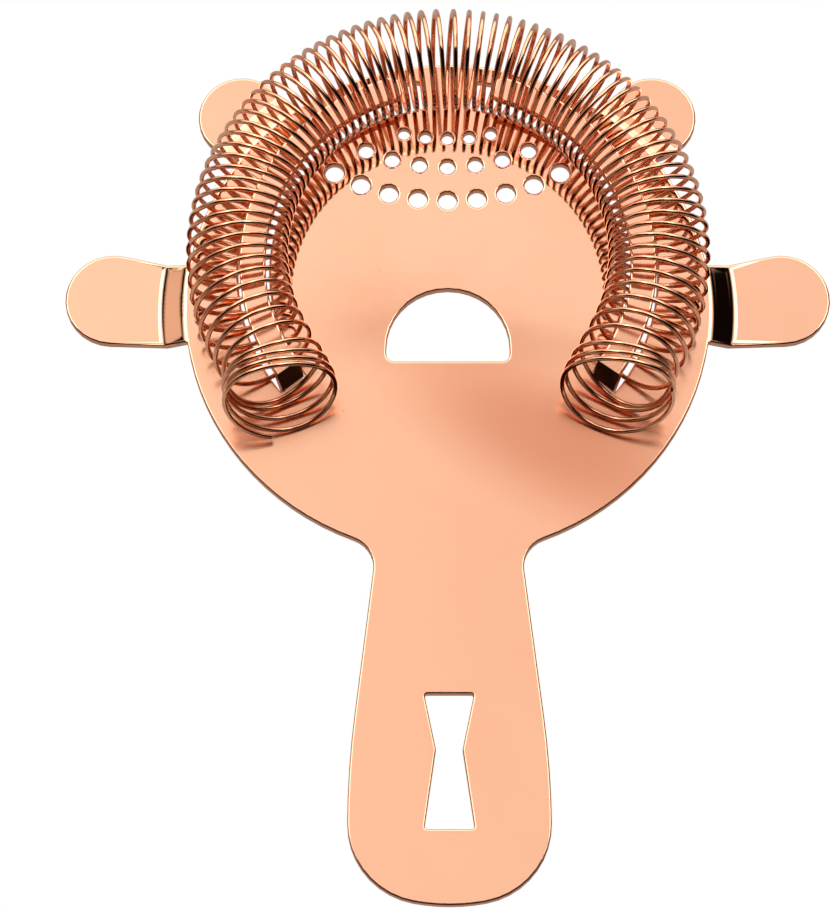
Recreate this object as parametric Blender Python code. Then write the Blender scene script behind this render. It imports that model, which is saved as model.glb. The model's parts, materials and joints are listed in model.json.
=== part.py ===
"""Four-pronged cocktail strainer: a pressed sheet plate and a coil spring threaded on two tongues.

Metres, +Z up. The strainer lies with its spring up, its handle towards -Y, and its four
prongs on z = 0. X and Y are centred on the outer box. Each mesh is drawn about the centre
of the round disc and placed by its object's location.
"""
import math

import bmesh
import bpy
from mathutils import Vector
from mathutils.geometry import delaunay_2d_cdt

MM = 0.001
GAP = 0.3 * MM                    # running gap between the spring and the plate

# Plate
SHEET = 1.5 * MM                  # sheet thickness
DISC_R = 44.5 * MM
STEP_DOWN = 2.5 * MM              # the prongs lie this much below the disc
STEP_INNER_R = DISC_R + 0.5 * MM  # the press step starts on this circle
STEP_OUTER_R = DISC_R + 4.0 * MM  # and ends on this one
ARC_STEP = math.radians(4)        # longest arc that one straight edge stands for

# Prongs: angle from the front, reach and radius of the round tip, half width at the disc, and how
# far the tip lies off the prong's middle line, towards the front
SIDE_PRONG = dict(turn=90, tip=DISC_R + 20.6 * MM, tip_r=8.1 * MM, root_half=7.0 * MM,
                  offset=1.7 * MM)
FRONT_PRONG = dict(turn=45, tip=DISC_R + 13.4 * MM, tip_r=7.5 * MM, root_half=6.6 * MM,
                   offset=0.0)

# Handle
HANDLE_REACH = 102.7 * MM         # from the disc's centre to the handle's end
HANDLE_HALF = 16.45 * MM          # widest half width
HANDLE_END_R = 32 * MM
HANDLE_CORNER_R = 13 * MM
HANDLE_SIDE_R = 150 * MM
HANDLE_TAPER = math.radians(6.8)  # each side leans in towards the neck
NECK_FILLET_R = 5 * MM

# Openings
MOON_R = 10.4 * MM                # half-moon pouring opening
MOON_Y = -7.8 * MM                # centre of its round side
MOON_FLAT_Y = -10.4 * MM
MOON_CORNER_R = 1.2 * MM
GLASS_TOP_Y = -68.0 * MM          # hourglass slot in the handle
GLASS_WAIST_Y = -77.2 * MM
GLASS_END_Y = -90.3 * MM
GLASS_HALF = 4.05 * MM
GLASS_WAIST_HALF = 2.15 * MM
GLASS_CORNER_R = 0.4 * MM
# Rows of straining holes: count, hole radius, row radius, front of the row, angle between holes
HOLE_ROWS = ((5, 1.05 * MM, 32 * MM, 30.5 * MM, 6.75),
             (7, 1.35 * MM, 34 * MM, 25.2 * MM, 8.1),
             (9, 1.65 * MM, 39 * MM, 18.9 * MM, 7.45))

# Spring
WIRE_R = 0.4 * MM
COIL_R = 8.6 * MM                 # outside of the coil
COIL_ARC_R = 35.3 * MM            # the coil's own axis is an arc of this radius
COIL_ARC_Y = 6.0 * MM             # whose centre lies ahead of the disc's centre
LEFT_TURNS = 40 + 7 / 12          # turns on each side of the front
RIGHT_TURNS = 39 + 4 / 12
POINTS_PER_TURN = 12
TURN_PITCH = 3.1                  # degrees of arc per turn
FRONT_SPREAD = 1.0                # degrees by which the free turns at the front stand apart
OPENING_TURN = 27.5               # the turns open towards the ends: one degree by this turn
CROWD_TURN = 36.5                 # past this turn the upper sides crowd together
CROWD_PITCH = 4.4                 # degrees per turn where that begins
CROWD_CLOSING = 0.75              # degrees by which each turn is then closer than the last
LEG_TURN = 35                     # the tongue's leg stands between this turn and the next
LEG_LEAD = 6.9                    # degrees by which a turn leans there, its plate side ahead
LEG_SPREAD = 1.8                  # degrees by which the leg opens that gap
SKEW = 8.0                        # the last turns' inner sides are ahead, the ones before trail
SKEW_TURN = 34.3                  # where the one changes to the other
SKEW_LAST_TURN = 38

# Tongues that carry the spring, cut from the plate and bent up
TONGUE_WIDTH = 4.4 * MM
TONGUE_OUTER_R = COIL_ARC_R - 2.3 * MM + TONGUE_WIDTH / 2
TONGUE_RISE = 5.0 * MM
TONGUE_LEG_TILT = math.radians(75)
TONGUE_TIP_TURN = 14.0            # degrees from the front
TONGUE_CORNER_R = 1.5 * MM
SLIT = 0.4 * MM                   # cutting gap around the tongue

# Outer box
FRONT_REACH = COIL_ARC_Y + COIL_ARC_R + COIL_R
CENTRE_Y = (HANDLE_REACH - FRONT_REACH) / 2
PLATE_TOP_Z = STEP_DOWN + SHEET
COIL_Z = PLATE_TOP_Z + GAP + COIL_R


def arc(cx, cy, r, start, end, steps=None):
    """Points on a circle from angle start to angle end, both in radians and both included."""
    steps = steps or max(2, math.ceil(abs(end - start) / ARC_STEP * max(1, (r / DISC_R) ** 0.5)))
    angles = [start + (end - start) * i / steps for i in range(steps + 1)]
    return [Vector((cx + r * math.cos(a), cy + r * math.sin(a))) for a in angles]


def rounded(corners, r, steps=3):
    """A closed outline whose straight-sided corners are replaced by arcs of radius r."""
    points = []
    for i, corner in enumerate(corners):
        back = (corners[i - 1] - corner).normalized()
        ahead = (corners[(i + 1) % len(corners)] - corner).normalized()
        half = back.angle(ahead) / 2
        centre = corner + (back + ahead).normalized() * r / math.sin(half)
        first = corner + back * r / math.tan(half) - centre
        last = corner + ahead * r / math.tan(half) - centre
        sweep = first.angle_signed(last)
        for k in range(steps + 1):
            turn = -sweep * k / steps
            x = first.x * math.cos(turn) - first.y * math.sin(turn)
            y = first.x * math.sin(turn) + first.y * math.cos(turn)
            points.append(centre + Vector((x, y)))
    return points


def around(points, degrees):
    """Points drawn about the +Y axis, turned clockwise from the front."""
    c, s = math.cos(math.radians(degrees)), math.sin(math.radians(degrees))
    return [Vector((p.x * c + p.y * s, p.y * c - p.x * s)) for p in points]


def prong(turn, tip, tip_r, root_half, offset):
    """One prong's edge, counter-clockwise, from the disc round the tip and back to the disc."""
    centre = Vector((-offset, tip - tip_r))
    root_y = math.sqrt(DISC_R ** 2 - root_half ** 2)
    ends = []
    for side in (1, -1):
        back = Vector((side * root_half, root_y)) - centre
        ends.append(math.atan2(back.y, back.x) + side * math.acos(tip_r / back.length))
    round_tip = arc(centre.x, centre.y, tip_r, ends[0], ends[1] + 2 * math.pi, 16)
    edge = [Vector((root_half, root_y))] + round_tip + [Vector((-root_half, root_y))]
    return around(edge, turn)


def plate_outline():
    """The plate's edge, counter-clockwise from the middle of the handle's end."""
    corner_x = HANDLE_HALF - HANDLE_CORNER_R
    end_y = HANDLE_END_R - HANDLE_REACH
    corner_y = end_y - math.sqrt((HANDLE_END_R - HANDLE_CORNER_R) ** 2 - corner_x ** 2)
    meet = math.atan2(corner_y - end_y, corner_x)
    half = arc(0, end_y, HANDLE_END_R, -math.pi / 2, meet, 3)
    half += arc(corner_x, corner_y, HANDLE_CORNER_R, meet, 0, 9)[1:]
    half += arc(HANDLE_HALF - HANDLE_SIDE_R, corner_y, HANDLE_SIDE_R, 0, HANDLE_TAPER, 4)[1:]
    # The neck's fillet touches the handle's straight side and the disc.
    along = Vector((-math.sin(HANDLE_TAPER), math.cos(HANDLE_TAPER)))
    out = Vector((along.y, -along.x))
    base = half[-1] + out * NECK_FILLET_R
    b = base.dot(along)
    run = -b - math.sqrt(b * b - base.length_squared + (DISC_R + NECK_FILLET_R) ** 2)
    fillet = base + along * run
    towards_disc = math.atan2(-fillet.y, -fillet.x)
    half += arc(fillet.x, fillet.y, NECK_FILLET_R, math.pi + HANDLE_TAPER, towards_disc, 7)
    for shape in (SIDE_PRONG, FRONT_PRONG):
        edge = prong(**shape)
        half += disc_arc(half[-1], edge[0]) + edge
    half += disc_arc(half[-1], Vector((0, DISC_R)))
    half.append(Vector((0, DISC_R)))
    mirrored = [Vector((-p.x, p.y)) for p in reversed(half[1:-1])]
    return split_at_steps(half + mirrored)


def disc_arc(first, last):
    """The points of the disc's rim between two points, without the two themselves."""
    start = math.atan2(first.y, first.x)
    end = math.atan2(last.y, last.x)
    return arc(0, 0, DISC_R, start, end)[1:-1]


def split_at_steps(outline):
    """Adds a point wherever the edge of a prong crosses one of the press step's circles."""
    points = []
    for a, b in zip(outline, outline[1:] + outline[:1]):
        points.append(a)
        if min(a.y, b.y) < -DISC_R / 2:
            continue
        cuts = []
        for r in (STEP_INNER_R, STEP_OUTER_R):
            if (a.length - r) * (b.length - r) < 0:
                low, high = 0.0, 1.0
                for _ in range(40):
                    mid = (low + high) / 2
                    same_side = (a.lerp(b, mid).length - r) * (a.length - r) > 0
                    low, high = (mid, high) if same_side else (low, mid)
                cuts.append(low)
        points += [a.lerp(b, t) for t in sorted(cuts)]
    return points


def smooth(t):
    """Rises from 0 to 1 without a corner as t goes from 0 to 1."""
    t = min(1.0, max(0.0, t))
    return t * t * (3 - 2 * t)


def turn_angle(turn, up, out):
    """Degrees from the front at which the wire passes.

    up runs from -1, the plate side, to 1, the top; out from -1, the inside of the arc, to 1.
    """
    u = abs(turn)
    inner = min(u, CROWD_TURN)
    last = u - inner
    upper = TURN_PITCH * inner + FRONT_SPREAD * math.tanh(u) + (inner / OPENING_TURN) ** 8
    upper += CROWD_PITCH * last - CROWD_CLOSING * last ** 2 / 2
    lead = LEG_LEAD * min(1.0, u / LEG_TURN) ** 6 + LEG_SPREAD * smooth(u - LEG_TURN)
    ratio = min(u, SKEW_LAST_TURN) / SKEW_TURN
    skew = SKEW * (ratio ** 8 - ratio ** 4)
    angle = upper + lead * (1 - up) / 2 - skew * out * (1 + up) / 2
    return math.copysign(angle, turn)


def tongue_root_turn():
    """Degrees from the front of the leg's foot: midway in the gap that the leg opens."""
    middle_r = TONGUE_OUTER_R - TONGUE_WIDTH / 2
    out = (middle_r - COIL_ARC_R) / (COIL_R - WIRE_R)
    ahead = turn_angle(LEG_TURN, -1, out)
    behind = turn_angle(LEG_TURN + 1, -1, out)
    leg_run = (SHEET + TONGUE_RISE * 0.2 * math.cos(TONGUE_LEG_TILT)) / math.sin(TONGUE_LEG_TILT)
    return (ahead + behind) / 2 + math.degrees(leg_run / middle_r) / 2


def polar(degrees, r):
    """A point of the spring's arc: degrees clockwise from the front, distance from its centre."""
    a = math.radians(degrees)
    return Vector((r * math.sin(a), COIL_ARC_Y + r * math.cos(a)))


def tongue_lines():
    """Angles of the foot of the leg, the top of the leg, the tip and the end of the slot."""
    middle_r = TONGUE_OUTER_R - TONGUE_WIDTH / 2
    foot = tongue_root_turn()
    top = foot - math.degrees(TONGUE_RISE / math.tan(TONGUE_LEG_TILT) / middle_r)
    # Bending the tongue up draws its tip back from the end of the slot it was cut from.
    drawn_back = TONGUE_RISE * math.tan(TONGUE_LEG_TILT / 2)
    slot_end = TONGUE_TIP_TURN - math.degrees((drawn_back + SLIT) / middle_r)
    return foot, top, TONGUE_TIP_TURN, slot_end


def tongue_loop(side):
    """The open cut around one tongue: a U that leaves the tongue joined along its foot."""
    foot, top, tip, slot_end = tongue_lines()
    outer, inner = TONGUE_OUTER_R, TONGUE_OUTER_R - TONGUE_WIDTH
    corner = math.degrees(TONGUE_CORNER_R / outer)
    steps = 26

    def run(r, start, end, count=steps):
        return [polar(start + (end - start) * i / count, r) for i in range(count + 1)]

    def rounding(r, inward, at_tip, angle):
        """Quarter round between the long edge at r and the end at this angle."""
        points = []
        for k in range(1, 4):
            a = math.radians(90 * k / 4)
            along = corner * (1 - math.sin(a)) * at_tip
            points.append(polar(angle + along, r + inward * TONGUE_CORNER_R * (1 - math.cos(a))))
        return points

    slot = run(outer + SLIT, foot, slot_end + corner)
    slot += rounding(outer + SLIT, -1, 1, slot_end)
    slot += reversed(rounding(inner - SLIT, 1, 1, slot_end))
    slot += run(inner - SLIT, slot_end + corner, foot)
    tongue = [polar(foot, inner)]
    tongue += run(inner, top, tip + corner)
    tongue += rounding(inner, 1, 1, tip)
    tongue += reversed(rounding(outer, -1, 1, tip))
    tongue += run(outer, tip + corner, top)
    tongue.append(polar(foot, outer))
    return [Vector((side * p.x, p.y)) for p in slot + tongue]


def openings():
    """Every opening in the plate as a closed outline."""
    moon = arc(0, MOON_Y, MOON_R, 0, math.pi, 18)
    flat = rounded([Vector((-MOON_R, MOON_FLAT_Y)), Vector((MOON_R, MOON_FLAT_Y)),
                    Vector((MOON_R, MOON_Y)), Vector((-MOON_R, MOON_Y))], MOON_CORNER_R)
    loops = [moon + [p for p in flat if p.y < (MOON_Y + MOON_FLAT_Y) / 2]]
    side = [Vector((GLASS_HALF, GLASS_END_Y)), Vector((GLASS_WAIST_HALF, GLASS_WAIST_Y)),
            Vector((GLASS_HALF, GLASS_TOP_Y))]
    glass = side + [Vector((-p.x, p.y)) for p in reversed(side)]
    loops.append(rounded(glass, GLASS_CORNER_R))
    for count, hole_r, row_r, front_y, step in HOLE_ROWS:
        sides = 2 * round(5 + hole_r / MM * 1.5)
        for i in range(count):
            a = math.radians(step * (i - (count - 1) / 2))
            x, y = row_r * math.sin(a), front_y + row_r * (1 - math.cos(a))
            loops.append(arc(x, y, hole_r, 0, 2 * math.pi, sides)[:-1])
    loops += [tongue_loop(1), tongue_loop(-1)]
    return loops


def inside(point, loop):
    """True if a point lies inside a closed outline."""
    odd = False
    for a, b in zip(loop, loop[1:] + loop[:1]):
        if (a.y > point.y) != (b.y > point.y):
            odd ^= point.x < a.x + (b.x - a.x) * (point.y - a.y) / (b.y - a.y)
    return odd


def sheet_point(flat, foot, top, tip):
    """A plate point's height above the disc and its offset to the underside of the sheet."""
    across = flat - Vector((0, COIL_ARC_Y))
    turn = math.degrees(math.atan2(abs(across.x), across.y))
    middle_r = TONGUE_OUTER_R - TONGUE_WIDTH / 2
    on_tongue = abs(across.length - middle_r) < TONGUE_WIDTH / 2 + SLIT / 4
    level = Vector((0, 0, -SHEET))
    if on_tongue and tip - 0.01 < turn < foot + 0.01:
        height = TONGUE_RISE if turn < top + 0.01 else 0.0
        if turn < top - 0.01:
            return height, level
        forward = Vector((-math.copysign(1, across.x) * math.cos(math.radians(turn)),
                          math.sin(math.radians(turn)), 0))
        return height, level + forward * SHEET * math.tan(TONGUE_LEG_TILT / 2)
    r = flat.length
    if r > STEP_INNER_R - GAP / 100 and flat.y > -DISC_R / 2:
        slope = math.atan2(STEP_DOWN, STEP_OUTER_R - STEP_INNER_R)
        out = Vector((flat.x, flat.y, 0)).normalized()
        if r < STEP_INNER_R + GAP / 100:
            return 0.0, level - out * SHEET * math.tan(slope / 2)
        if r < STEP_OUTER_R + GAP / 100:
            return -STEP_DOWN, level - out * SHEET * math.tan(slope / 2)
        return -STEP_DOWN, level
    return 0.0, level


def step_lines(outline):
    """Creases of the press step: arcs between each pair of outline points on its circles."""
    lines = []
    for r in (STEP_INNER_R, STEP_OUTER_R):
        on_circle = [p for p in outline if abs(p.length - r) < GAP / 100 and p.y > -DISC_R / 2]
        on_circle.sort(key=lambda p: math.atan2(p.y, p.x))
        for a, b in zip(on_circle[::2], on_circle[1::2]):
            lines.append(arc(0, 0, r, math.atan2(a.y, a.x), math.atan2(b.y, b.x)))
            lines[-1][0], lines[-1][-1] = a, b
    return lines


def plate_mesh():
    """The sheet: triangles between the outlines, then the underside and the cut edges."""
    outline = plate_outline()
    loops = openings()
    foot, top, tip, _ = tongue_lines()
    points, edges = [], []
    for loop in [outline] + loops:
        first = len(points)
        points += loop
        edges += [(first + i, first + (i + 1) % len(loop)) for i in range(len(loop))]
    creases = step_lines(outline)
    for side in (1, -1):
        for turn in (foot, top):
            ends = [polar(turn, TONGUE_OUTER_R - TONGUE_WIDTH), polar(turn, TONGUE_OUTER_R)]
            creases.append([Vector((side * p.x, p.y)) for p in ends])
    for crease in creases:
        first = len(points)
        points += crease
        edges += [(first + i, first + i + 1) for i in range(len(crease) - 1)]
    flat, _, faces, _, _, _ = delaunay_2d_cdt(points, edges, [], 0, 1e-7)
    kept = []
    for face in faces:
        middle = sum((flat[i] for i in face), Vector((0, 0))) / 3
        if inside(middle, outline) and not any(inside(middle, loop) for loop in loops):
            kept.append(face)

    bm = bmesh.new()
    upper, lower = {}, {}
    for i in sorted({i for face in kept for i in face}):
        height, down = sheet_point(flat[i], foot, top, tip)
        position = Vector((flat[i].x, flat[i].y, height))
        upper[i] = bm.verts.new(position)
        lower[i] = bm.verts.new(position + down)
    directed = set()
    for a, b, c in kept:
        bm.faces.new((upper[a], upper[b], upper[c]))
        bm.faces.new((lower[c], lower[b], lower[a]))
        directed |= {(a, b), (b, c), (c, a)}
    for a, b in sorted(directed):
        if (b, a) not in directed:
            bm.faces.new((upper[b], upper[a], lower[a], lower[b]))
    bmesh.ops.recalc_face_normals(bm, faces=bm.faces)
    mesh = bpy.data.meshes.new("strainer_plate")
    bm.to_mesh(mesh)
    bm.free()
    mesh.shade_smooth()
    mesh.set_sharp_from_angle(angle=math.radians(25))
    return mesh


def coil_curve():
    """The spring's wire, drawn about the centre of its arc."""
    curve = bpy.data.curves.new("coil_spring", "CURVE")
    curve.dimensions = "3D"
    curve.bevel_depth = WIRE_R
    curve.bevel_resolution = 1
    curve.use_fill_caps = True
    count = round((LEFT_TURNS + RIGHT_TURNS) * POINTS_PER_TURN)
    spline = curve.splines.new("POLY")
    spline.points.add(count)
    r = COIL_R - WIRE_R
    for i, point in enumerate(spline.points):
        turn = i / POINTS_PER_TURN - LEFT_TURNS
        phase = 2 * math.pi * turn - math.pi / 2
        angle = turn_angle(turn, math.sin(phase), math.cos(phase))
        at = polar(angle, COIL_ARC_R + r * math.cos(phase))
        point.co = (at.x, at.y - COIL_ARC_Y, r * math.sin(phase), 1)
    return curve


def copper(name, roughness):
    """Polished copper plating."""
    material = bpy.data.materials.new(name)
    material.use_nodes = True
    shader = material.node_tree.nodes["Principled BSDF"]
    shader.inputs["Base Color"].default_value = (0.93, 0.58, 0.42, 1)
    shader.inputs["Metallic"].default_value = 1.0
    shader.inputs["Roughness"].default_value = roughness
    return material


def place(name, data, location, material):
    """Adds one named sub-part to the scene."""
    item = bpy.data.objects.new(name, data)
    item.location = location
    data.materials.append(material)
    bpy.context.scene.collection.objects.link(item)
    return item


def build():
    for item in list(bpy.data.objects):
        bpy.data.objects.remove(item, do_unlink=True)
    place("strainer_plate", plate_mesh(), (0, CENTRE_Y, PLATE_TOP_Z), copper("plate_copper", 0.08))
    coil_at = (0, CENTRE_Y + COIL_ARC_Y, COIL_Z)
    place("coil_spring", coil_curve(), coil_at, copper("spring_copper", 0.12))


build()
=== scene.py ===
# %% [markdown]
# # A four-pronged bar strainer in polished copper plate
#
# The real strainer is two pieces. A plate is cut and pressed from sheet, plated with copper and
# polished, and a coil spring is threaded on two tongues that are bent up from that plate. The
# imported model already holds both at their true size, so this lesson starts by loading it as a
# fixed frame. Everything made here sits in the same frame, in metres.

# %% Load the frame
import json
import math

import bmesh
import bpy
import numpy as np
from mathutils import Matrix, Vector
from mathutils.bvhtree import BVHTree
from mathutils.geometry import delaunay_2d_cdt


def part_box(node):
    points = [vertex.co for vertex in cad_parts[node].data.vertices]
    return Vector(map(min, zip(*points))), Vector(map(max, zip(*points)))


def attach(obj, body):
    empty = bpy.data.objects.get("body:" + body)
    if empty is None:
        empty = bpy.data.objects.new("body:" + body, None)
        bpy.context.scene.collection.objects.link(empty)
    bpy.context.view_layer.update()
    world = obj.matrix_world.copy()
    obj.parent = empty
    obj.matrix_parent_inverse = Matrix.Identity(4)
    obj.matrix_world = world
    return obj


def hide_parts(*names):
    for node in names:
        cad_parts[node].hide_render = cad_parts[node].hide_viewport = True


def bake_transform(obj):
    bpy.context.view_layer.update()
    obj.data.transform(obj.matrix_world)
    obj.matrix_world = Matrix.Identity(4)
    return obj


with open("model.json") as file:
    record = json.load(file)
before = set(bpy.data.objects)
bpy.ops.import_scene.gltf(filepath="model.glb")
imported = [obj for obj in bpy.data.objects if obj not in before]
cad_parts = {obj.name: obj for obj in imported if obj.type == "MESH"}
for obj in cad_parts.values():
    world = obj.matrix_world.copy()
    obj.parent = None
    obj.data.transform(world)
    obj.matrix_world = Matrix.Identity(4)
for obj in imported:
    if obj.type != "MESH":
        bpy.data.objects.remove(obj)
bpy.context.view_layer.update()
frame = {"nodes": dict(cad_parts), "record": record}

MM = 0.001
plate_low, plate_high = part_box("strainer_plate")
coil_low, coil_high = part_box("coil_spring")
print("plate", [round((h - l) / MM, 2) for l, h in zip(plate_low, plate_high)], "mm")
print("spring", [round((h - l) / MM, 2) for l, h in zip(coil_low, coil_high)], "mm")

# %% [markdown]
# ## Writing nodes as sums
#
# Both the spring's law and the finishes are sums of many small terms. They could be wired by hand
# in the node editor. In a script it reads better to wrap an output socket in a small class whose
# operators each add one Math node, so that `1 - mask * 0.5` is written as it is said. Every other
# node comes from one method that sets the node's settings first and then its sockets.


# %% A term and a graph
class Term:
    """An output socket that takes part in Python sums. Each operator adds a Math node."""

    def __init__(self, graph, socket):
        self.graph, self.socket = graph, socket

    def maths(self, operation, *terms):
        return self.graph.maths(operation, self, *terms)

    def __add__(self, other):
        return self.maths("ADD", other)

    def __sub__(self, other):
        return self.maths("SUBTRACT", other)

    def __mul__(self, other):
        return self.maths("MULTIPLY", other)

    def __truediv__(self, other):
        return self.maths("DIVIDE", other)

    def __pow__(self, other):
        return self.maths("POWER", other)

    def __rsub__(self, other):
        return self.graph.maths("SUBTRACT", other, self)

    __radd__, __rmul__ = __add__, __mul__

    def at_most(self, other):
        return self.maths("MINIMUM", other)

    def at_least(self, other):
        return self.maths("MAXIMUM", other)

    def smooth_from(self, low, high):
        """0 below low, 1 above high and a smooth rise between them."""
        sockets = {"Value": self, "From Min": low, "From Max": high}
        kind = {"interpolation_type": "SMOOTHSTEP"}
        return self.graph.node("ShaderNodeMapRange", kind, sockets)


class Graph:
    """A node tree that starts empty."""

    def __init__(self, tree):
        self.tree = tree
        tree.nodes.clear()

    def node(self, kind, settings=None, sockets=None, output=0):
        """Adds a node. Its settings are set first, then its sockets, by value or by link."""
        made = self.tree.nodes.new(kind)
        for name, value in (settings or {}).items():
            setattr(made, name, value)
        for key, value in (sockets or {}).items():
            if isinstance(value, Term):
                self.tree.links.new(value.socket, made.inputs[key])
            else:
                made.inputs[key].default_value = value
        return Term(self, made.outputs[output]) if len(made.outputs) else made

    def maths(self, operation, *terms):
        return self.node("ShaderNodeMath", {"operation": operation}, dict(enumerate(terms)))

    def mix(self, factor, first, second):
        """A colour between two colours."""
        sockets = {0: factor, 6: first, 7: second}
        return self.node("ShaderNodeMix", {"data_type": "RGBA"}, sockets, output=2)

    def split(self, vector):
        """The three parts of a vector."""
        parts = self.node("ShaderNodeSeparateXYZ", sockets={0: vector}).socket.node
        return [Term(self, out) for out in parts.outputs]


print("operators ready")

# %% [markdown]
# ## Tools for the finishes
#
# Every finish here is a metal varied by noises and soft masks. Their nodes could be set up one by
# one inside each finish. Short helper functions read better: the noise takes its size in metres,
# so with Object coordinates a size in a finish is a size on the strainer.


# %% Helpers for a finish
def new_material(name):
    material = bpy.data.materials.new(name)
    material.use_nodes = True
    return material, Graph(material.node_tree)


def noise(graph, place, size, detail=2.0, stretch=(1, 1, 1)):
    """A noise from 0 to 1 whose blotches are about size metres across, times stretch."""
    scale = [1 / (size * s) for s in stretch]
    placed = graph.node("ShaderNodeMapping", sockets={"Vector": place, "Scale": scale})
    return graph.node("ShaderNodeTexNoise", sockets={"Vector": placed, "Scale": 1.0,
                                                     "Detail": detail})


def finish_material(graph, sockets):
    surface = graph.node("ShaderNodeBsdfPrincipled", sockets=sockets)
    graph.node("ShaderNodeOutputMaterial", sockets={"Surface": surface})


def bump(graph, height, depth):
    """Raises the surface by depth metres where height is 1."""
    return graph.node("ShaderNodeBump", sockets={"Height": height, "Distance": depth})


BLOB_FADE = (0.2, 1.8)            # a mask fades out between these shares of its half sizes


def blob(graph, x, y, centre, half, along=(1, 0)):
    """A soft oval mask: 1 in the middle and 0 beyond it."""
    right, ahead = x - centre[0], y - centre[1]
    length = (right * along[0] + ahead * along[1]) / half[0]
    breadth = (ahead * along[0] - right * along[1]) / half[1]
    distance = (length * length + breadth * breadth).maths("SQRT")
    return 1 - distance.smooth_from(*BLOB_FADE)


print("finish helpers ready")

# %% [markdown]
# ## Copper plating, polished
#
# The plating on the plate is close to a mirror. On a metal the colour belongs to the reflection,
# so it goes to Base Color with Metallic at 1. What keeps it from looking like a flat tint is long,
# shallow waves, which bend the reflections a little, very fine lines, a roughness that drifts and
# a few specks of dust. All of them are noises on Object coordinates, at sizes in metres. An image
# texture would need the plate unwrapped first, and noises do not. One darker, warmer streak of
# painted shade lies across the disc, and the rear is more satin than the front. Both are placed at
# given spots.

# %% Colours and sizes of the polished copper
COPPER = (0.985, 0.522, 0.332, 1)
COPPER_DEEP = (0.93, 0.43, 0.245, 1)
# The colour and place of a painted shade: a darker, warmer streak across the disc
COPPER_IN_PAINTED_SHADE = (0.72, 0.27, 0.15, 1)
PAINTED_SHADE_CENTRE, PAINTED_SHADE_HALF = (18 * MM, 2 * MM), (23 * MM, 9 * MM)
PAINTED_SHADE_ALONG = (0.87, -0.49)
PAINTED_SHADE_DEPTH = 0.8
DUST = (0.62, 0.50, 0.44, 1)
DUST_SPACING, DUST_SIZE = 5.5 * MM, 0.14 * MM
DUST_BARE = 0.72                  # share of the pattern's cells that hold no speck
WAVE_DEPTH = 0.09 * MM            # height of the long waves
MIRROR, SATIN = 0.035, 0.16       # roughness of the front, and what the rear adds
SATIN_Y, SATIN_BLEND = 18 * MM, 6 * MM


def dust_specks(graph, place):
    """A mask of small round specks, one in every few cells of a random pattern."""
    cells = {"Vector": place, "Scale": 1 / DUST_SPACING}
    near = graph.node("ShaderNodeTexVoronoi", sockets=cells)
    tint = Term(graph, near.socket.node.outputs["Color"])
    chosen = graph.split(tint)[0].maths("GREATER_THAN", DUST_BARE)
    edge = DUST_SIZE / DUST_SPACING
    return (1 - near.smooth_from(edge * 0.6, edge)) * chosen


print("dust one speck in", round(1 / (1 - DUST_BARE), 1), "cells")


# %% The polished copper of the plate
def polished_copper():
    material, graph = new_material("plate_copper_polished")
    place = graph.node("ShaderNodeTexCoord", output="Object")
    waves = noise(graph, place, 26 * MM, detail=1.0)
    ripple = noise(graph, place, 5 * MM, detail=2.0)
    lines = noise(graph, place, 0.12 * MM, detail=1.0, stretch=(1, 30, 1))
    cloud = noise(graph, place, 14 * MM, detail=3.0)
    dust = dust_specks(graph, place)
    x, y, _ = graph.split(place)
    metal = graph.mix(cloud.smooth_from(0.35, 0.75) * 0.16, COPPER, COPPER_DEEP)
    # Painted shade: a darker, warmer streak across the disc stands in for a shade in the reflection.
    painted_shade_streak = blob(graph, x, y, PAINTED_SHADE_CENTRE, PAINTED_SHADE_HALF, PAINTED_SHADE_ALONG)
    metal = graph.mix(painted_shade_streak * PAINTED_SHADE_DEPTH, metal, COPPER_IN_PAINTED_SHADE)
    # The rear of the disc and the handle are more satin than the front.
    satin = 1 - y.smooth_from(SATIN_Y - SATIN_BLEND, SATIN_Y + SATIN_BLEND)
    height = waves + ripple * 0.05 + lines * 0.0012 + dust * 0.002
    finish_material(graph, {
        "Base Color": graph.mix(dust, metal, DUST),
        "Metallic": 1 - dust * 0.7,
        "Roughness": MIRROR + satin * SATIN + cloud * 0.03 + lines * 0.02 + dust * 0.5,
        "Normal": bump(graph, height, WAVE_DEPTH),
    })
    return material


plate_finish = polished_copper()
print(plate_finish.name, len(plate_finish.node_tree.nodes), "nodes")

# %% [markdown]
# ## The sheared edge
#
# A die cuts the outline and the openings. The wall it leaves is half burnished and half torn, so
# it takes the plating but not the polish. It could be the same finish as the faces, but then the
# edges would shine as if they were faces. A second, duller finish with lines through the sheet's
# thickness is given to the walls alone.


# %% The duller copper of the cut walls
TORN = (0.50, 0.20, 0.10, 1)


def sheared_copper():
    material, graph = new_material("plate_copper_cut_edge")
    place = graph.node("ShaderNodeTexCoord", output="Object")
    tears = noise(graph, place, 0.25 * MM, detail=2.0, stretch=(1, 1, 9))
    height = graph.split(place)[2] / (1 * MM)
    torn = height.maths("FRACT").smooth_from(0.3, 0.6)
    shade = graph.mix(tears * 0.6 + torn * 0.3, COPPER_DEEP, TORN)
    finish_material(graph, {
        "Base Color": shade,
        "Metallic": 1.0,
        "Roughness": 0.2 + tears * 0.12 + torn * 0.08,
        "Normal": bump(graph, tears, 0.02 * MM),
    })
    return material


edge_finish = sheared_copper()
print(edge_finish.name, len(edge_finish.node_tree.nodes), "nodes")

# %% [markdown]
# ## The folded legs
#
# Inside the ends of the spring stand the two short legs on which the tongues are bent up. They
# look nearly black. A dark reflection alone could do that, but it would change with every view, so
# those few faces get painted shade instead: a near-black, dull finish of their own that stands in
# for the dark reflection and the shade inside the spring.

# %% The near-black copper of the folds, painted shade
FOLD_PAINTED_SHADE, FOLD_PAINTED_SHADE_FLECK = (0.030, 0.016, 0.011, 1), (0.16, 0.07, 0.04, 1)


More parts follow.
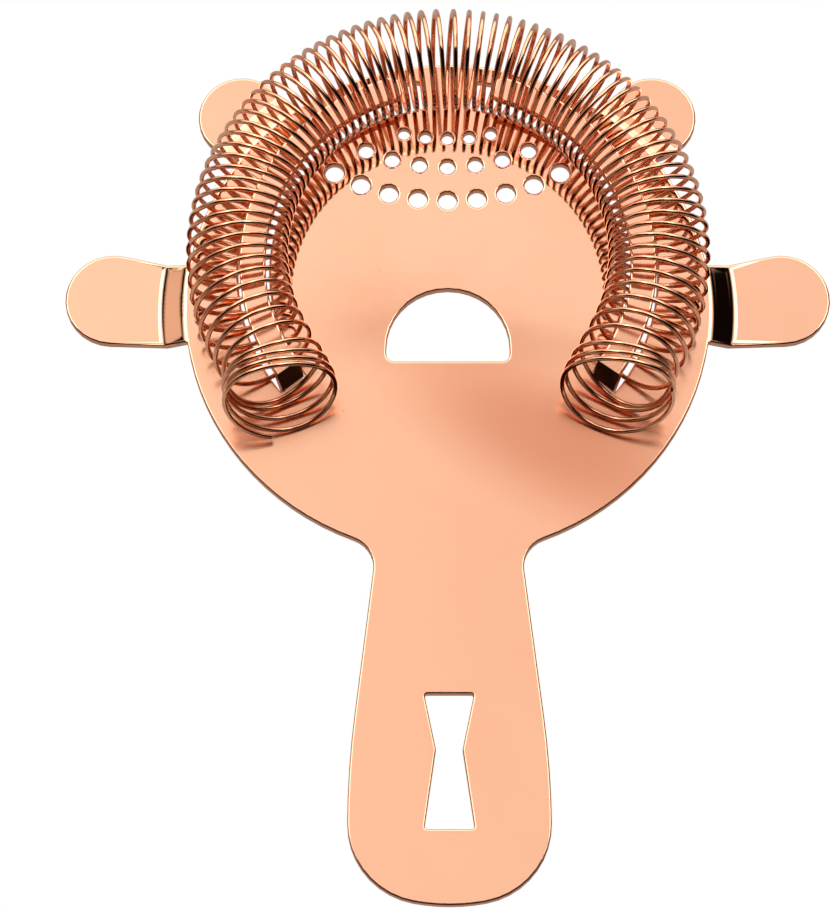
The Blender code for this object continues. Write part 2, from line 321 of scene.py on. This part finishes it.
def folded_copper_painted_shade():
    material, graph = new_material("plate_copper_fold_painted_shade")
    place = graph.node("ShaderNodeTexCoord", output="Object")
    crackle = noise(graph, place, 0.5 * MM, detail=4.0)
    # Near-black painted shade, flecked a little paler by the noise.
    painted_dark = graph.mix(crackle.smooth_from(0.5, 0.9), FOLD_PAINTED_SHADE, FOLD_PAINTED_SHADE_FLECK)
    finish_material(graph, {
        "Base Color": painted_dark,
        "Metallic": 0.8,
        "Roughness": 0.3 + crackle * 0.2,
        "Normal": bump(graph, crackle, 0.02 * MM),
    })
    return material


fold_painted_shade_finish = folded_copper_painted_shade()
print(fold_painted_shade_finish.name, len(fold_painted_shade_finish.node_tree.nodes), "nodes")

# %% [markdown]
# ## The plate
#
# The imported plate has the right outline, openings, press steps and tongues, but knife-sharp edges
# and creases. A Bevel modifier could soften them, but it stumbles where a crease meets a thin
# slit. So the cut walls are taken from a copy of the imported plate, and the two faces of the sheet
# are filled in again between them with finer rings: the creases get a bend radius, and every cut
# edge gets the shallow roll that a die draws down beside its cut. On a mirror that roll is what
# draws the thin dark line around each edge.

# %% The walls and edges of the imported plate
SHEET = 1.5 * MM
STEP_DOWN = 2.5 * MM              # the prongs' pads lie this much below the disc
TONGUE_RISE = 5.0 * MM            # and the tongues this much above it
DISC_TOP = plate_low[2] + STEP_DOWN + SHEET
UPPER_LEVELS = (DISC_TOP, DISC_TOP - STEP_DOWN, DISC_TOP + TONGUE_RISE)
FOLD_TILT = 0.6                   # a tongue's leg stands steeper than this


def on_top(vert):
    """True for a point of the sheet's upper side: all of them lie at one of three levels."""
    return min(abs(vert.co.z - level) for level in UPPER_LEVELS) < 0.05 * MM


def is_wall(face):
    return len({on_top(v) for v in face.verts}) == 2


def faces_side(face, upward):
    return {on_top(v) for v in face.verts} == {upward}


def merged_copy(node):
    """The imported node's mesh with its loose triangles joined."""
    mesh = bmesh.new()
    mesh.from_mesh(node.data)
    bmesh.ops.remove_doubles(mesh, verts=mesh.verts, dist=0.001 * MM)
    mesh.normal_update()
    mesh.verts.index_update()
    return mesh


def cut_edges(mesh, upward):
    """Edges between one side of the sheet and the walls, with the material on their left."""
    edges = []
    for face in mesh.faces:
        if not faces_side(face, upward):
            continue
        for loop in face.loops:
            if is_wall(loop.link_loop_radial_next.face):
                pair = (loop.vert.index, loop.link_loop_next.vert.index)
                edges.append(pair if upward else pair[::-1])
    return edges


def fold_edges(mesh, upward):
    """The straight folds at the foot and the top of each tongue's leg."""
    folds = []
    for edge in mesh.edges:
        tilts = [abs(f.normal.z) for f in edge.link_faces]
        sides = [faces_side(f, upward) for f in edge.link_faces]
        if all(sides) and min(tilts) < FOLD_TILT < max(tilts):
            folds.append((edge.verts[0].index, edge.verts[1].index))
    return folds


packed = merged_copy(frame["nodes"]["strainer_plate"])
spots = np.array([v.co for v in packed.verts])
print("packed points:", len(spots), "cut edges above:", len(cut_edges(packed, True)))

# %% The roll beside a cut and the bends of the press steps
ROLL = ((0.0, 0.15), (0.12, 0.042), (0.17, 0.004), (0.42, 0.0))   # mm in from the cut, mm down
STEP_INNER_R, STEP_OUTER_R = 45.0 * MM, 48.5 * MM
BEND = 0.8 * MM                   # each bend of a step reaches this far to both sides
DISC_Y = 26.4 * MM                # centre of the round disc
BEND_RINGS = (-1.0, -0.5, 0.0, 0.5, 1.0)
BEND_POINT_EVERY = 0.8 * MM
CLEAR_OF_EDGE = 0.3 * MM          # the rings of a bend stop this far from a cut
PRONGS_FROM_Y = DISC_Y - 12 * MM  # the press steps lie ahead of this line, the handle behind it
# On the underside each bend lies this much nearer to the centre
MITRE = SHEET * math.tan(math.atan2(STEP_DOWN, STEP_OUTER_R - STEP_INNER_R) / 2)


def step_drop(radius):
    """How far the sheet lies below the disc at this distance from the disc's centre."""
    run = STEP_OUTER_R - STEP_INNER_R
    plain = np.clip((radius - STEP_INNER_R) / run, 0, 1)
    first = (radius - STEP_INNER_R + BEND) ** 2 / (4 * BEND * run)
    last = 1 - (STEP_OUTER_R + BEND - radius) ** 2 / (4 * BEND * run)
    plain = np.where(abs(radius - STEP_INNER_R) < BEND, first, plain)
    return STEP_DOWN * np.where(abs(radius - STEP_OUTER_R) < BEND, last, plain)


def to_segments(points, starts, ends):
    """Distance of each point from the nearest of the segments."""
    nearest = np.full(len(points), 1.0)
    for a, b in zip(starts, ends):
        along = b - a
        t = np.clip((points - a) @ along / (along @ along), 0, 1)
        nearest = np.minimum(nearest, np.linalg.norm(points - a - t[:, None] * along, axis=1))
    return nearest


def within(points, starts, ends):
    """True for each point that an odd number of the segments passes to the right of."""
    odd = np.zeros(len(points), bool)
    for a, b in zip(starts, ends):
        spans = (a[1] > points[:, 1]) != (b[1] > points[:, 1])
        if spans.any():
            cross = a[0] + (b[0] - a[0]) * (points[:, 1] - a[1]) / (b[1] - a[1])
            odd ^= spans & (points[:, 0] < cross)
    return odd


print("a step drops", step_drop(np.array([44, 46.75, 50]) * MM) / MM, "mm")


# %% Fill one side of the sheet
def bend_points(edges, reach_in):
    """Points along the bends of the press steps, a little inside the sheet's edges."""
    found = []
    for centre in (STEP_INNER_R, STEP_OUTER_R):
        for share in BEND_RINGS:
            radius = centre + share * BEND - reach_in
            count = int(2 * math.pi * radius / BEND_POINT_EVERY)
            turns = 2 * math.pi * np.arange(count) / count
            ring = np.stack([radius * np.cos(turns), DISC_Y + radius * np.sin(turns)], axis=1)
            found.append(ring[ring[:, 1] > PRONGS_FROM_Y])
    found = np.concatenate(found)
    starts, ends = spots[[e[0] for e in edges], :2], spots[[e[1] for e in edges], :2]
    inside = within(found, starts, ends) & (to_segments(found, starts, ends) > CLEAR_OF_EDGE)
    return found[inside]


def ring_offsets(edges):
    """For each cut point, the way into the material that keeps a ring parallel to the edge."""
    into = {}
    for a, b in edges:
        along = spots[b, :2] - spots[a, :2]
        left = np.array([-along[1], along[0]]) / np.linalg.norm(along)
        into.setdefault(a, []).append(left)
        into.setdefault(b, []).append(left)
    return {k: (n[0] + n[1]) / max(0.4, 1 + n[0] @ n[1]) for k, n in into.items()}


def fill_side(upward):
    """Triangles of one side of the sheet, and the points that they add."""
    edges, folds = cut_edges(packed, upward), fold_edges(packed, upward)
    offsets = ring_offsets(edges)
    order = list(offsets)
    place = {k: i for i, k in enumerate(order)}
    flat = [spots[order, :2]]
    lines = [(place[a], place[b]) for a, b in edges + folds]
    for k, (inward, _) in enumerate(ROLL[1:], 1):
        shift = len(order) * k
        flat.append(flat[0] + np.array([offsets[i] for i in order]) * inward * MM)
        lines += [(place[a] + shift, place[b] + shift) for a, b in edges]
    mitre = 0 if upward else MITRE
    flat.append(bend_points(edges, mitre))
    flat = np.concatenate(flat)
    result = delaunay_2d_cdt([Vector(p) for p in flat], lines, [], 0, 1e-7)
    points, faces, origins = np.array([tuple(p) for p in result[0]]), result[2], result[3]
    starts, ends = spots[[e[0] for e in edges], :2], spots[[e[1] for e in edges], :2]
    middles = np.array([points[list(f)].mean(axis=0) for f in faces])
    faces = [f for f, keep in zip(faces, within(middles, starts, ends)) if keep]

    inward = to_segments(points, starts, ends)
    roll = np.interp(inward / MM, [r[0] for r in ROLL], [r[1] for r in ROLL]) * MM
    radius = np.hypot(points[:, 0], points[:, 1] - DISC_Y) + mitre
    heights = surface_heights(points, upward)
    near_step = (radius > STEP_INNER_R - BEND) & (points[:, 1] > PRONGS_FROM_Y)
    level = DISC_TOP - step_drop(radius) - (0 if upward else SHEET)
    heights = np.where(near_step, level, heights) - (roll if upward else -roll)
    names = {i: order[o] for i, os in enumerate(origins) for o in os if o < len(order)}
    return points, heights, faces, names, inward


def surface_heights(points, upward):
    """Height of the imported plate's upper or lower side at each point."""
    tree = BVHTree.FromBMesh(packed)
    away = 0.05 if upward else -0.05
    down = Vector((0, 0, -away))
    heights = []
    for x, y in points:
        hit = tree.ray_cast(Vector((x, y, away)), down)[0]
        heights.append(hit.z if hit else DISC_TOP - (0 if upward else SHEET))
    return np.array(heights)


# %% Join the sides and the walls
FLAT_FROM = ROLL[-1][0] * MM * 0.98


LEG_TILT = 0.5                    # a tongue's leg stands steeper than this


def plate_object():
    points = [tuple(p) for p in spots]
    faces = [[v.index for v in f.verts] for f in packed.faces if is_wall(f)]
    kinds = [(1, True)] * len(faces)
    for upward in (True, False):
        flat, heights, filled, names, inward = fill_side(upward)
        number = {}
        for i in {i for f in filled for i in f}:
            if i in names:
                number[i] = names[i]
                points[names[i]] = (*points[names[i]][:2], heights[i])
            else:
                number[i] = len(points)
                points.append((flat[i][0], flat[i][1], heights[i]))
        for face in filled:
            spread = max(heights[i] for i in face) - min(heights[i] for i in face)
            plain = spread < 0.0005 * MM and min(inward[i] for i in face) > FLAT_FROM
            corners = [number[i] for i in face]
            faces.append(corners if upward else corners[::-1])
            kinds.append((0, not plain))
    mesh = bpy.data.meshes.new("polished_plate")
    mesh.from_pydata(points, [], faces)
    for polygon, (material, smooth) in zip(mesh.polygons, kinds):
        polygon.material_index, polygon.use_smooth = material, smooth
    # The steep legs of the raised tongues take the third finish, a near-black painted shade.
    for polygon in mesh.polygons:
        raised = polygon.center.z > DISC_TOP + 0.2 * MM
        if polygon.material_index == 0 and raised and abs(polygon.normal.z) < LEG_TILT:
            polygon.material_index = 2
    tidy_plate(mesh)
    return finished_object("polished_plate", mesh, [plate_finish, edge_finish, fold_painted_shade_finish])


def tidy_plate(mesh):
    """Drops unused points, marks hard corners sharp and says whether the skin is closed."""
    work = bmesh.new()
    work.from_mesh(mesh)
    loose = [v for v in work.verts if not v.link_faces]
    bmesh.ops.delete(work, geom=loose, context="VERTS")
    open_edges = 0
    for edge in work.edges:
        open_edges += len(edge.link_faces) != 2
        if len(edge.link_faces) == 2:
            edge.smooth = edge.calc_face_angle() < SMOOTH_UNDER
    work.to_mesh(mesh)
    work.free()
    print("plate triangles:", len(mesh.polygons), "open edges:", open_edges)


def finished_object(name, mesh, materials):
    for material in materials:
        mesh.materials.append(material)
    made = bpy.data.objects.new(name, mesh)
    bpy.context.scene.collection.objects.link(made)
    return made


SMOOTH_UNDER = math.radians(50)
plate = plate_object()
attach(plate, "plate")
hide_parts("strainer_plate")

# %% [markdown]
# ## The spring's wire
#
# The wire could share the plate's finish. It has its own, because it is taken as a little rougher
# and deeper in colour in patches, where turns would rub, with a fine even grain. Its shine comes
# from the same mirror-like metal.

# %% The plated wire
WIRE = (0.95, 0.49, 0.29, 1)
WIRE_DEEP = (0.72, 0.26, 0.12, 1)


def plated_wire():
    material, graph = new_material("spring_copper_wire")
    place = graph.node("ShaderNodeTexCoord", output="Object")
    wear = noise(graph, place, 4 * MM, detail=3.0)
    grain = noise(graph, place, 0.15 * MM, detail=2.0)
    metal = graph.mix(wear.smooth_from(0.4, 0.7) * 0.5, WIRE, WIRE_DEEP)
    finish_material(graph, {
        "Base Color": metal,
        "Metallic": 1.0,
        "Roughness": 0.05 + wear * 0.04 + grain * 0.03,
        "Normal": bump(graph, grain, 0.004 * MM),
    })
    return material


wire_finish = plated_wire()
print(wire_finish.name, len(wire_finish.node_tree.nodes), "nodes")

# %% [markdown]
# ## The spring
#
# Every point of the spring follows one rule. The wire goes round a circle, and the circle's centre
# goes round an arc. How far along the arc it is depends on the turn: even in the middle, opening
# towards the ends, spread where the tongue's leg stands between two turns, and crowded after it,
# where the free ends also straighten and run a little outside the arc.
# A rule like that suits Geometry Nodes: a line of points, one Set Position that holds the rule,
# and a round profile swept along it. Its sizes are named inputs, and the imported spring's box gives
# the arc's place.

# %% Sizes of the spring
WIRE_R = 0.4 * MM
COIL_R = 8.6 * MM
ARC_R = 35.3 * MM
TURNS_LEFT = 40 - 1 / 12
TURNS_RIGHT = 39 + 4 / 12
POINTS_PER_TURN = 36
WIRE_SIDES = 12
arc_y = coil_high[1] - ARC_R - COIL_R
coil_z = (coil_low[2] + coil_high[2]) / 2

spring_sizes = {
    "Wire radius": WIRE_R, "Coil radius": COIL_R, "Arc radius": ARC_R,
    "Arc centre Y": arc_y, "Coil height": coil_z,
    "Turns left": TURNS_LEFT, "Turns right": TURNS_RIGHT,
    "Pitch": 3.1, "Front spread": 1.0, "Opening turn": 27.5,
    "Crowd turn": 36.5, "Crowd pitch": 2.2, "Crowd closing": 0.4,
    "Leg turn": 35.0, "Leg lead": 6.9, "Leg spread": 1.8,
    "Lead fall": 1.6, "Lead rise": 1.8, "Skew": 8.0, "Skew turn": 34.3, "Skew last turn": 38.0,
    "End flare": 2.6 * MM, "Flare turns": 4.5, "End twist": 6.2,
}
print("arc centre y", round(arc_y / MM, 2), "mm, coil axis z", round(coil_z / MM, 2), "mm")


# %% The rule as a node tree
def spring_tree():
    tree = bpy.data.node_groups.new("spring_rule", "GeometryNodeTree")
    graph = Graph(tree)
    for name in spring_sizes:
        tree.interface.new_socket(name, in_out="INPUT", socket_type="NodeSocketFloat")
    tree.interface.new_socket("Spring", in_out="OUTPUT", socket_type="NodeSocketGeometry")
    inputs = tree.nodes.new("NodeGroupInput")
    size = {name: Term(graph, inputs.outputs[name]) for name in spring_sizes}

    steps = ((size["Turns left"] + size["Turns right"]) * POINTS_PER_TURN).maths("ROUND")
    line = graph.node("GeometryNodeMeshLine", sockets={"Count": steps + 1})
    step = graph.node("GeometryNodeInputIndex")
    turn = step / POINTS_PER_TURN - size["Turns left"]
    phase = turn * (2 * math.pi) - math.pi / 2
    up, out = phase.maths("SINE"), phase.maths("COSINE")

    angle = arc_angle(graph, size, turn, up, out)
    bend = angle.maths("RADIANS")
    ring = size["Coil radius"] - size["Wire radius"]
    past_leg = (turn.maths("ABSOLUTE") - size["Leg turn"]).at_least(0.0)
    flare = size["End flare"] * (past_leg / size["Flare turns"]) ** 1.5
    reach = size["Arc radius"] + flare + ring * out
    place = graph.node("ShaderNodeCombineXYZ", sockets={
        0: reach * bend.maths("SINE"),
        1: size["Arc centre Y"] + reach * bend.maths("COSINE"),
        2: size["Coil height"] + ring * up})
    placed = graph.node("GeometryNodeSetPosition", sockets={"Geometry": line, "Position": place})
    path = graph.node("GeometryNodeMeshToCurve", sockets={0: placed})
    section = graph.node("GeometryNodeCurvePrimitiveCircle", {"mode": "RADIUS"},
                         {"Resolution": WIRE_SIDES, "Radius": size["Wire radius"]})
    wire = graph.node("GeometryNodeCurveToMesh",
                      sockets={"Curve": path, "Profile Curve": section, "Fill Caps": True})
    smooth = graph.node("GeometryNodeSetShadeSmooth", sockets={"Geometry": wire})
    whole = graph.node("GeometryNodeRealizeInstances", sockets={0: smooth})
    done = graph.node("GeometryNodeSetMaterial", sockets={"Geometry": whole,
                                                          "Material": wire_finish})
    graph.node("NodeGroupOutput", sockets={0: done})
    return tree


def arc_angle(graph, size, turn, up, out):
    """Degrees from the front at which the wire passes."""
    u = turn.maths("ABSOLUTE")
    inner = u.at_most(size["Crowd turn"])
    last = u - inner
    upper = size["Pitch"] * inner + size["Front spread"] * u.maths("TANH")
    upper = upper + (inner / size["Opening turn"]) ** 8
    upper = upper + size["Crowd pitch"] * last - size["Crowd closing"] * last * last / 2
    past_leg = u - size["Leg turn"]
    lead = size["Leg lead"] * (u / size["Leg turn"]).at_most(1.0) ** 6
    lead = lead + size["Leg spread"] * past_leg.smooth_from(0.0, 1.0)
    lead = lead - size["Lead fall"] * past_leg.smooth_from(1.0, 2.0)
    lead = lead + size["Lead rise"] * (past_leg - 2).at_least(0.0).at_most(2.0)
    ratio = u.at_most(size["Skew last turn"]) / size["Skew turn"]
    skew = size["Skew"] * (ratio ** 8 - ratio ** 4)
    free = past_leg.smooth_from(0.0, 3.5)
    turned = skew * (1 + up) / 2 * (1 - free) + size["End twist"] * free
    angle = upper + lead * (1 - up) / 2 - out * turned
    return angle * turn.maths("SIGN")


rule = spring_tree()
print("spring rule:", len(rule.nodes), "nodes")


# %% Run the rule and keep its mesh
def run_rule(name, tree, sizes):
    """A plain mesh made by a Geometry Nodes tree whose inputs are set to these sizes."""
    carrier = bpy.data.objects.new(name + "_rule", bpy.data.meshes.new(name + "_rule"))
    bpy.context.scene.collection.objects.link(carrier)
    modifier = carrier.modifiers.new("rule", "NODES")
    modifier.node_group = tree
    for item in tree.interface.items_tree:
        if item.in_out == "INPUT":
            modifier[item.identifier] = float(sizes[item.name])
    graph_now = bpy.context.evaluated_depsgraph_get()
    mesh = bpy.data.meshes.new_from_object(carrier.evaluated_get(graph_now))
    bpy.data.objects.remove(carrier)
    mesh.name = name
    return mesh


def outward(mesh):
    """Turns all faces of a closed mesh outwards."""
    work = bmesh.new()
    work.from_mesh(mesh)
    bmesh.ops.recalc_face_normals(work, faces=work.faces)
    work.to_mesh(mesh)
    work.free()


spring_mesh = run_rule("coiled_spring", rule, spring_sizes)
outward(spring_mesh)
if not spring_mesh.materials:
    spring_mesh.materials.append(wire_finish)
spring = finished_object("coiled_spring", spring_mesh, [])
print("spring faces:", len(spring_mesh.polygons), "materials:", len(spring_mesh.materials))

# %% [markdown]
# ## How the spring would move
#
# In use the front of the spring is pressed back against the rim while its two ends stay put on the
# tongues. So the spring could not be carried rigidly: its ends would follow the plate, its front the
# moving body, and what lies between would bend smoothly. Here the spring is only fixed in place,
# and the line from which such a blend would start is read from the record.

# %% Fix the spring in place and read where a blend would start
REST_Y = frame["record"]["behaviour"]["joints"][0]["deforming_nodes"][0]["fixed_end_y_m"]
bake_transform(spring)
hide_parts("coil_spring")
print("blend from y", REST_Y, "to", round(coil_high[1], 4))

# %% [markdown]
# ## Light
#
# A mirror shows only what surrounds it, so the light is drawn as a room: a soft white ceiling over
# the front, which gives the plate its even tone, a bright far wall, dark near and side walls,
# which draw the dark lines down every wire and along every rolled edge, a paler patch on the
# left, and a pale lower half for the undersides. One soft warm shape in the ceiling leaves a shade
# across the plate. It and the soft patches of the ceiling are placed for the main view. The same
# could be built from area lights and cards, but then the lamps could show in other views.

# %% The room
CEILING = (0.64, 0.78)            # the ceiling begins at this sine of the elevation
CEILING_EDGE = (0.03, 0.15)       # and ends overhead, this far ahead of straight up
FAR_WALL = (0.55, 0.80)           # cosine of the angle from straight ahead, to the far wall's edge
SOFTBOX = 3.2                     # brightness of the two side lamps
FRONT_LAMP = 1.2                  # how much brighter the ceiling gets towards the far wall
# Places on the ceiling are the x and y of a direction over its z. A pair is where a tone starts
# to change and where it is done.
FRONT_LAMP_FROM = (0.56, 0.80)
LAMP_INNER, LAMP_OUTER = (0.26, 0.36), (0.50, 0.66)
LEFT_RISE, LEFT_GAIN = (-0.16, 0.0), 0.22
# Soft patches of the ceiling: centre, half sizes, and how much brighter or darker each is
GLOWS = (((-0.005, 0.42), (0.08, 0.05), 0.14),
         ((-0.035, 0.33), (0.05, 0.03), -0.14),
         ((0.0, 0.285), (0.06, 0.025), -0.12))
# Edges of the walls, as parts of a direction of length 1
FLOOR_EDGE, FAR_FOOT = (-0.20, -0.04), (-0.05, 0.1)
LEFT_SIDE, LEFT_FOOT, LEFT_NEAR = (-0.88, -0.70), (0.1, 0.2), (0.1, 0.25)
LOW_TOP, LOW_SIDE = (0.34, 0.44), (0.78, 0.86)
DARK_WALL = (0.004, 0.003, 0.003, 1)
LOW_WALL = (0.20, 0.18, 0.16, 1)
LEFT_WALL = (0.85, 0.76, 0.66, 1)
FAR_TONE = (1.9, 1.85, 1.8, 1)
FLOOR_TONE = (0.50, 0.47, 0.45, 1)
SHADE_CENTRE = (0.055, 0.335)
SHADE_ALONG = (0.87, -0.50)
SHADE_HALF = (0.075, 0.022)
SHADE_TINT = (0.55, 0.30, 0.23, 1)


def draw_room():
    world = bpy.data.worlds.new("studio_room")
    world.use_nodes = True
    graph = Graph(world.node_tree)
    x, y, z = graph.split(graph.node("ShaderNodeTexCoord", output="Generated"))
    over = z.at_least(0.2)
    u, v = x / over, y / over
    beside = u.maths("ABSOLUTE")

    # The ceiling ends behind the camera; the far wall is bright, the near and side ones dark.
    ceiling = z.smooth_from(*CEILING) * y.smooth_from(*CEILING_EDGE)
    facing = y / (x * x + y * y).maths("SQRT").at_least(0.01)
    far_wall = facing.smooth_from(*FAR_WALL)
    below = 1 - z.smooth_from(*FLOOR_EDGE)
    left = 1 - x.smooth_from(*LEFT_SIDE)
    left = left * z.smooth_from(*LEFT_FOOT) * y.smooth_from(*LEFT_NEAR)
    low = (1 - z.smooth_from(*LOW_TOP)) * (1 - x.smooth_from(*LOW_SIDE))
    wall = graph.mix(left, graph.mix(low, DARK_WALL, LOW_WALL), LEFT_WALL)
    wall = graph.mix(far_wall * z.smooth_from(*FAR_FOOT), wall, FAR_TONE)

    shade = blob(graph, u, v, SHADE_CENTRE, SHADE_HALF, SHADE_ALONG)
    tone = 1.0
    for centre, half, gain in GLOWS:
        tone = blob(graph, u, v, centre, half) * gain + tone
    lamps = beside.smooth_from(*LAMP_INNER) * (1 - beside.smooth_from(*LAMP_OUTER))
    tone = tone + (1 - u.smooth_from(*LEFT_RISE)) * LEFT_GAIN + lamps * (SOFTBOX - 1)
    tone = tone + v.smooth_from(*FRONT_LAMP_FROM) * FRONT_LAMP
    tones = graph.node("ShaderNodeCombineColor", sockets={0: tone, 1: tone, 2: tone})
    shaded = graph.mix(shade, (1, 1, 1, 1), SHADE_TINT)
    top = graph.node("ShaderNodeMix", {"data_type": "RGBA", "blend_type": "MULTIPLY"},
                     {0: 1.0, 6: tones, 7: shaded}, output=2)
    room = graph.mix(below, graph.mix(ceiling, wall, top), FLOOR_TONE)
    light = graph.node("ShaderNodeBackground", sockets={"Color": room, "Strength": 1.0})
    graph.node("ShaderNodeOutputWorld", sockets={"Surface": light})
    return world


bpy.context.scene.world = draw_room()
bpy.context.scene.view_settings.view_transform = "Standard"
print("room drawn")

# %% [markdown]
# ## Floor
#
# The strainer lies on a plain white sweep that rises far behind it on every side, so that no
# horizon line shows from low angles. It gives its own light and takes no shadow.


# %% The white sweep
SWEEP = ((0.0, 0.0), (1.6, 0.0), (2.2, 0.12), (2.6, 0.6), (2.8, 3.2))    # radius and height, m
SWEEP_SIDES = 48
SWEEP_BELOW = 0.2 * MM            # the sweep lies this far under the strainer


def white_sweep():
    work = bmesh.new()
    last = [work.verts.new((0, 0, 0))]
    for radius, height in SWEEP[1:]:
        ring = []
        for i in range(SWEEP_SIDES):
            a = 2 * math.pi * i / SWEEP_SIDES
            ring.append(work.verts.new((radius * math.cos(a), radius * math.sin(a), height)))
        for i in range(SWEEP_SIDES):
            j = (i + 1) % SWEEP_SIDES
            if len(last) == 1:
                work.faces.new((last[0], ring[i], ring[j]))
            else:
                work.faces.new((last[i], ring[i], ring[j], last[j]))
        last = ring
    for vert in work.verts:
        vert.co.z -= SWEEP_BELOW
    mesh = bpy.data.meshes.new("floor_sweep")
    work.to_mesh(mesh)
    work.free()
    return mesh


def white_paper():
    material, graph = new_material("floor_white")
    glow = graph.node("ShaderNodeEmission", sockets={"Color": (1, 1, 1, 1), "Strength": 1.0})
    graph.node("ShaderNodeOutputMaterial", sockets={"Surface": glow})
    return material


floor = finished_object("floor_sweep", white_sweep(), [white_paper()])
floor.visible_diffuse = floor.visible_glossy = floor.visible_shadow = False
print("floor ready")

# %% [markdown]
# ## Camera
#
# The view is from above and a little towards the handle, with a long lens, so the disc is only
# slightly foreshortened.

# %% The camera
TARGET = Vector((-5.14, -0.73, 4.0)) * MM
DISTANCE = 0.533
ELEVATION = math.radians(71.42)
LENS = 126.4

camera = bpy.data.objects.new("camera", bpy.data.cameras.new("camera"))
bpy.context.scene.collection.objects.link(camera)
back = Vector((0, -math.cos(ELEVATION), math.sin(ELEVATION)))
camera.location = TARGET + back * DISTANCE
camera.rotation_euler = (math.pi / 2 - ELEVATION, 0, 0)
camera.data.lens = LENS
camera.data.clip_start = 0.01
bpy.context.scene.camera = camera
print("camera at", [round(c, 4) for c in camera.location])
